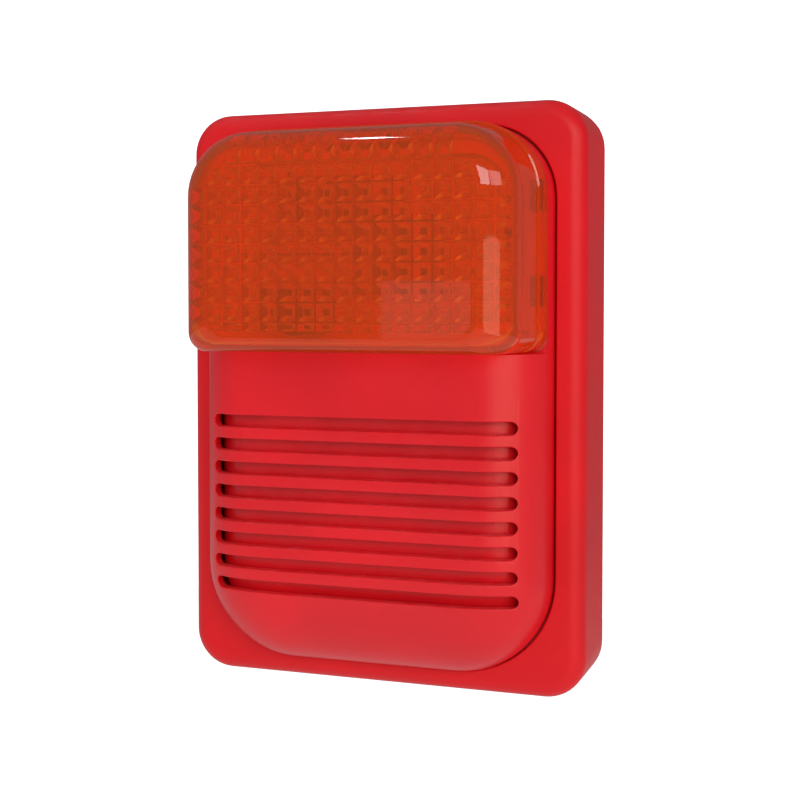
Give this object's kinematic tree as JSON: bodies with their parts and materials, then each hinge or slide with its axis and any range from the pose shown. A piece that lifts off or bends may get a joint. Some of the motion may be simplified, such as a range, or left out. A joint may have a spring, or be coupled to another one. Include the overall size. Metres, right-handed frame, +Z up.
{
  "type": "alarm siren",
  "caption": "Red wall alarm siren with a louvred front cover, an amber prismatic strobe lens and a hinged housing that opens from its back plate.",
  "frame": {"origin": "middle of the flat wall face of the back plate", "axes": "+Z up the wall, -Y out of the wall through the front, +X to the right seen from the wall's opposite side, looking at the front"},
  "size_m": [0.09, 0.045, 0.125],
  "materials": {
    "red_housing": "fine-textured red moulding",
    "red_cover": "fine-textured red moulding",
    "amber_lens": "clear amber, polished outside, small pyramids inside",
    "black_plastic": "black moulding",
    "grey_plastic": "dark grey moulding",
    "rubber": "black rubber",
    "red_silicone": "red silicone rubber",
    "white_board": "white circuit board",
    "steel": "zinc-plated",
    "brass": "plain brass",
    "ceramic": "silvered ceramic",
    "board": "green circuit board",
    "terminal_green": "green moulding",
    "white_plastic": "white moulding",
    "clear_glass": "clear glass",
    "reflector": "bright metal",
    "transformer": "dark wound core",
    "capacitor_black": "black shrink sleeve",
    "capacitor_blue": "dark blue shrink sleeve",
    "capacitor_green": "dipped green coating",
    "resistor": "beige lacquer",
    "lead_red": "red insulation",
    "dip_red": "red moulding",
    "trimmer_blue": "blue moulding"
  },
  "bodies": {
    "base": {"back_plate": "red_housing", "cable_grommet": "rubber", "terminal_body": "terminal_green", "terminal_contacts": "brass"},
    "case_washer": {"case_washer": "steel"},
    "case_screw": {"case_screw": "steel"},
    "clamp_screw_1": {"clamp_screw_1": "steel"},
    "clamp_cage_1": {"clamp_cage_1": "steel"},
    "clamp_screw_2": {"clamp_screw_2": "steel"},
    "clamp_cage_2": {"clamp_cage_2": "steel"},
    "clamp_screw_3": {"clamp_screw_3": "steel"},
    "clamp_cage_3": {"clamp_cage_3": "steel"},
    "clamp_screw_4": {"clamp_screw_4": "steel"},
    "clamp_cage_4": {"clamp_cage_4": "steel"},
    "front": {"housing": "red_housing", "front_cover": "red_cover", "cover_screws": "steel", "sound_baffle": "red_cover", "lens": "amber_lens", "lens_gasket": "red_silicone", "strobe_tray": "white_plastic", "strobe_board": "white_board", "strobe_screws": "steel", "flash_tube": "clear_glass", "tube_electrodes": "steel", "tube_reflector": "reflector", "trigger_transformer": "transformer", "flash_capacitor": "capacitor_black", "film_capacitor": "capacitor_green", "strobe_resistors": "resistor", "strobe_leads": "lead_red", "siren_chamber": "black_plastic", "siren_gasket": "rubber", "brass_disc": "brass", "ceramic_disc": "ceramic", "siren_ring": "grey_plastic", "siren_screws": "steel", "siren_leads": "lead_red", "main_board": "board", "board_screws": "steel", "main_capacitor": "capacitor_blue", "drive_coil": "transformer", "driver_chip": "black_plastic", "dip_body": "dip_red", "trimmer_body": "trimmer_blue", "tamper_body": "black_plastic"},
    "dip_slider_1": {"dip_slider_1": "white_plastic"},
    "dip_slider_2": {"dip_slider_2": "white_plastic"},
    "dip_slider_3": {"dip_slider_3": "white_plastic"},
    "dip_slider_4": {"dip_slider_4": "white_plastic"},
    "trimmer_rotor": {"trimmer_rotor": "white_plastic"},
    "tamper_plunger": {"tamper_plunger": "white_plastic"}
  },
  "joints": [
    {"name": "front_swing", "type": "hinge", "parent": "base", "child": "front", "pos_m": [0, -0.006, 0.0565], "axis": [-1, 0, 0], "range_deg": [0, 25]},
    {"name": "case_screw_back_off", "type": "slide", "parent": "base", "child": "case_washer", "axis": [0, 0, -1], "range_m": [0, 0.003]},
    {"name": "case_screw_turn", "type": "hinge", "parent": "case_washer", "child": "case_screw", "pos_m": [0, -0.006, -0.0622], "axis": [0, 0, -1], "range_deg": [0, 2160]},
    {"name": "clamp_screw_1_turn", "type": "hinge", "parent": "base", "child": "clamp_screw_1", "pos_m": [-0.0075, -0.012, 0.0165], "axis": [0, 1, 0], "range_deg": [0, 1584]},
    {"name": "clamp_cage_1_lift", "type": "slide", "parent": "base", "child": "clamp_cage_1", "axis": [0, -1, 0], "range_m": [0, 0.0022]},
    {"name": "clamp_screw_2_turn", "type": "hinge", "parent": "base", "child": "clamp_screw_2", "pos_m": [-0.0025, -0.012, 0.0165], "axis": [0, 1, 0], "range_deg": [0, 1584]},
    {"name": "clamp_cage_2_lift", "type": "slide", "parent": "base", "child": "clamp_cage_2", "axis": [0, -1, 0], "range_m": [0, 0.0022]},
    {"name": "clamp_screw_3_turn", "type": "hinge", "parent": "base", "child": "clamp_screw_3", "pos_m": [0.0025, -0.012, 0.0165], "axis": [0, 1, 0], "range_deg": [0, 1584]},
    {"name": "clamp_cage_3_lift", "type": "slide", "parent": "base", "child": "clamp_cage_3", "axis": [0, -1, 0], "range_m": [0, 0.0022]},
    {"name": "clamp_screw_4_turn", "type": "hinge", "parent": "base", "child": "clamp_screw_4", "pos_m": [0.0075, -0.012, 0.0165], "axis": [0, 1, 0], "range_deg": [0, 1584]},
    {"name": "clamp_cage_4_lift", "type": "slide", "parent": "base", "child": "clamp_cage_4", "axis": [0, -1, 0], "range_m": [0, 0.0022]},
    {"name": "dip_1_slide", "type": "slide", "parent": "front", "child": "dip_slider_1", "axis": [0, 0, 1], "range_m": [0, 0.0018]},
    {"name": "dip_2_slide", "type": "slide", "parent": "front", "child": "dip_slider_2", "axis": [0, 0, 1], "range_m": [0, 0.0018]},
    {"name": "dip_3_slide", "type": "slide", "parent": "front", "child": "dip_slider_3", "axis": [0, 0, 1], "range_m": [0, 0.0018]},
    {"name": "dip_4_slide", "type": "slide", "parent": "front", "child": "dip_slider_4", "axis": [0, 0, 1], "range_m": [0, 0.0018]},
    {"name": "volume_turn", "type": "hinge", "parent": "front", "child": "trimmer_rotor", "pos_m": [0.0155, -0.0098, -0.0115], "axis": [0, 1, 0], "range_deg": [-135, 135]},
    {"name": "tamper_press", "type": "slide", "parent": "front", "child": "tamper_plunger", "axis": [0, -1, 0], "range_m": [0, 0.0008], "stiffness_N_per_m": 300, "springref_m": -0.0012}
  ],
  "couplings": [
    {"joint": "case_screw_turn", "follows": "case_screw_back_off", "rad_per_m": 12566},
    {"joint": "clamp_screw_1_turn", "follows": "clamp_cage_1_lift", "rad_per_m": 12566},
    {"joint": "clamp_screw_2_turn", "follows": "clamp_cage_2_lift", "rad_per_m": 12566},
    {"joint": "clamp_screw_3_turn", "follows": "clamp_cage_3_lift", "rad_per_m": 12566},
    {"joint": "clamp_screw_4_turn", "follows": "clamp_cage_4_lift", "rad_per_m": 12566}
  ]
}
